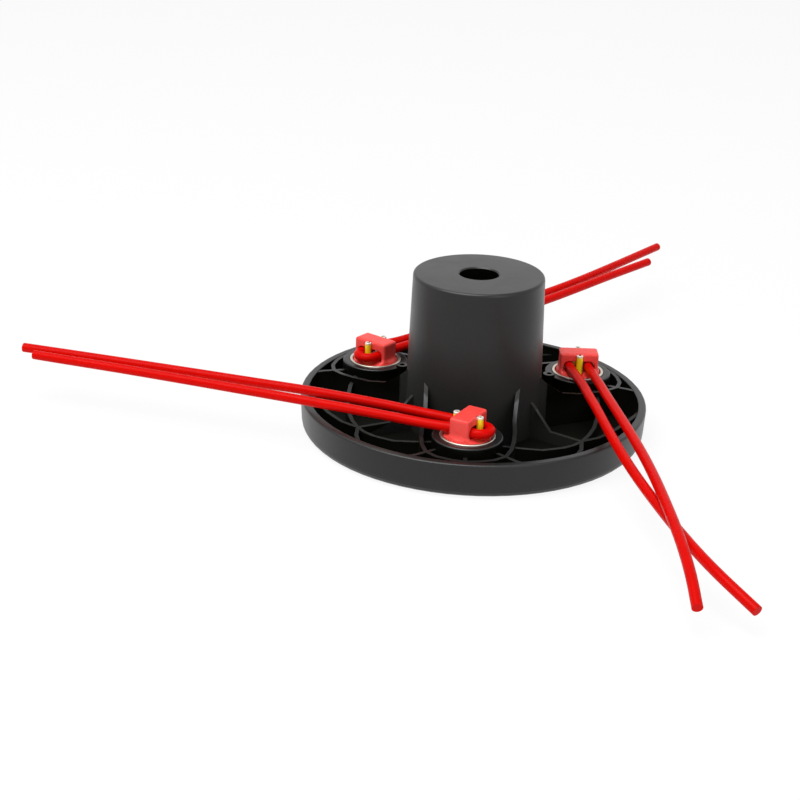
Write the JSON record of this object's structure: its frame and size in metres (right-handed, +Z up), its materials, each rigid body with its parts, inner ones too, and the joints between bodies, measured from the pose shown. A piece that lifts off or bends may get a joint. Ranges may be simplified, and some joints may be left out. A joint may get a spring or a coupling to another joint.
{
  "type": "line trimmer head",
  "caption": "Line trimmer head: a ribbed saucer disc with a tall hub, and swivelling line holders that each grip a folded length of thick line.",
  "frame": {"origin": "on the spindle axis at the disc's flat underside", "axes": "+Z up the hub towards the machine, -Y through the first line holder's boss, +X to the right"},
  "size_m": [0.3512, 0.4307, 0.0801],
  "materials": {
    "black_nylon": "moulded, fine grain",
    "red_nylon": "moulded, satin",
    "red_line": "extruded, glossy",
    "bright_steel": "turned, bright",
    "yellow_zinc_steel": "rolled spring steel, yellow zinc"
  },
  "bodies": {
    "head": {"head_body": "black_nylon", "steel_bush_1": "bright_steel", "steel_bush_2": "bright_steel", "steel_bush_3": "bright_steel"},
    "holder_1": {"line_holder_1": "red_nylon", "bight_pin_1": "yellow_zinc_steel", "exit_pin_1": "yellow_zinc_steel", "trimmer_line_1": "red_line"},
    "holder_2": {"line_holder_2": "red_nylon", "bight_pin_2": "yellow_zinc_steel", "exit_pin_2": "yellow_zinc_steel", "trimmer_line_2": "red_line"},
    "holder_3": {"line_holder_3": "red_nylon", "bight_pin_3": "yellow_zinc_steel", "exit_pin_3": "yellow_zinc_steel", "trimmer_line_3": "red_line"}
  },
  "joints": [
    {"name": "holder_1_swivel", "type": "hinge", "parent": "head", "child": "holder_1", "pos_m": [0, -0.0603, 0.0214], "axis": [0, 0, 1], "range_deg": [-12, 120]},
    {"name": "holder_2_swivel", "type": "hinge", "parent": "head", "child": "holder_2", "pos_m": [0.05222, 0.03015, 0.0214], "axis": [0, 0, 1], "range_deg": [-12, 130]},
    {"name": "holder_3_swivel", "type": "hinge", "parent": "head", "child": "holder_3", "pos_m": [-0.05222, 0.03015, 0.0214], "axis": [0, 0, 1], "range_deg": [-12, 120]}
  ]
}
